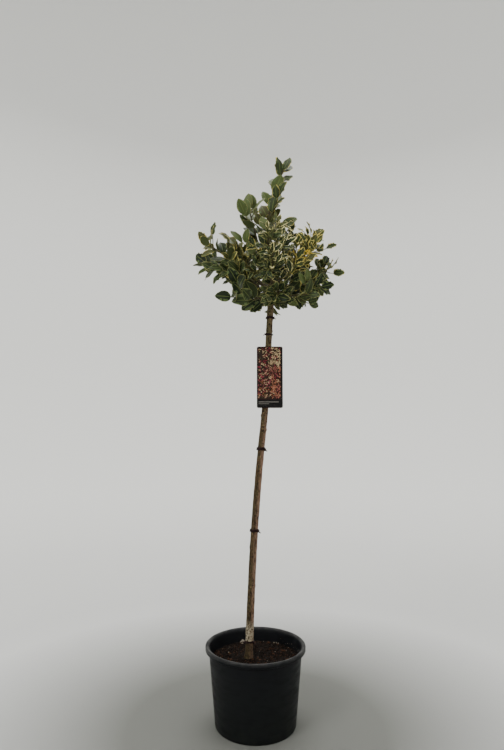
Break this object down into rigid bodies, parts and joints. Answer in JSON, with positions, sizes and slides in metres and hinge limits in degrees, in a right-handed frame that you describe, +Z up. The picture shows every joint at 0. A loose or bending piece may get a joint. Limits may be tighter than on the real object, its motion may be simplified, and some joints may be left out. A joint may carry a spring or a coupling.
{
  "type": "potted holly standard tree",
  "caption": "Young variegated holly grown as a standard: slender leaning stem, open round crown with one tall leader, in a black plastic nursery pot of soil.",
  "frame": {"origin": "centre of the pot's flat underside", "axes": "+Z up along the plant; +X towards the side the stem leans to; -Y the front, where the label hangs"},
  "size_m": [0.4462, 0.3927, 1.6209],
  "materials": {
    "pot": "satin black moulded plastic",
    "soil": "dark crumbly potting soil",
    "bark": "smooth grey-brown bark with small knobs",
    "bough": "smooth olive bark",
    "foliage": "glossy dark green leaves with cream margins",
    "gold_foliage": "glossy leaves with wide golden margins",
    "tie": "soft black plastic tie",
    "label": null
  },
  "bodies": {
    "root": {"pot": "pot", "soil": "soil", "trunk": "bark", "tie_1": "tie", "tie_2": "tie", "tie_3": "tie", "tie_4": "tie", "tie_5": "tie", "label": "label", "label_strap": "tie", "bough_leader": "bough", "foliage_leader": "foliage", "bough_upper_left": "bough", "foliage_upper_left": "foliage", "bough_left_high": "bough", "foliage_left_high": "foliage", "bough_left_low": "bough", "foliage_left_low": "foliage", "bough_lower_left": "bough", "foliage_lower_left": "foliage", "bough_lower_front": "bough", "foliage_lower_front": "foliage", "bough_lower_right": "bough", "foliage_lower_right": "foliage", "bough_right": "bough", "foliage_right": "foliage", "bough_upper_right": "bough", "foliage_upper_right": "gold_foliage", "bough_upper_back": "bough", "foliage_upper_back": "foliage", "bough_front": "bough", "foliage_front": "foliage", "bough_upper_front": "bough", "foliage_upper_front": "foliage", "bough_back": "bough", "foliage_back": "foliage", "bough_back_left": "bough", "foliage_back_left": "foliage", "bough_back_right": "bough", "foliage_back_right": "foliage", "bough_lower_back": "bough", "foliage_lower_back": "foliage"}
  },
  "joints": []
}
